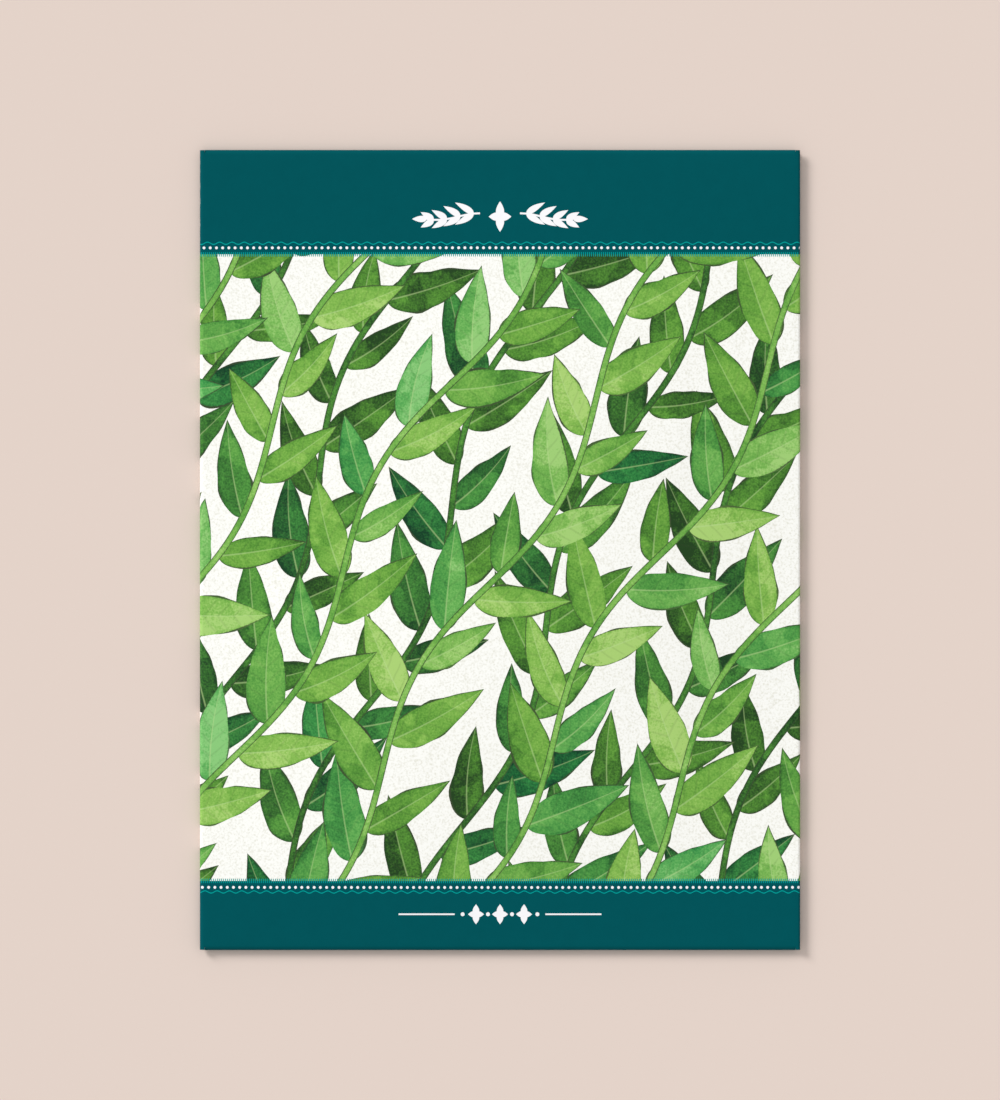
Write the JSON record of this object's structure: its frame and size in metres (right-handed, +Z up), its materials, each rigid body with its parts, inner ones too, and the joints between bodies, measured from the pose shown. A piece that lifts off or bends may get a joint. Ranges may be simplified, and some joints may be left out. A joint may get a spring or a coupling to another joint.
{
  "type": "seed packet",
  "caption": "Flat rectangular paper seed packet, folded from one printed sheet and glued shut at the back, with a sealed sachet of seeds inside.",
  "frame": {"origin": "on the surface the packet lies on, under the middle of its front", "axes": "+Z up through the printed front, +Y towards the packet's top edge, +X to the right as the front is read"},
  "size_m": [0.09, 0.12, 0.0036],
  "materials": {
    "printed_paper": "satin",
    "glue": "satin",
    "sachet_film": "satin",
    "seed": "matte"
  },
  "bodies": {
    "root": {"envelope": "printed_paper", "flap_glue": "glue", "bottom_tab_glue": "glue", "side_seam_glue": "glue", "sachet_front_film": "sachet_film", "sachet_back_film": "sachet_film", "seeds": "seed"}
  },
  "joints": []
}
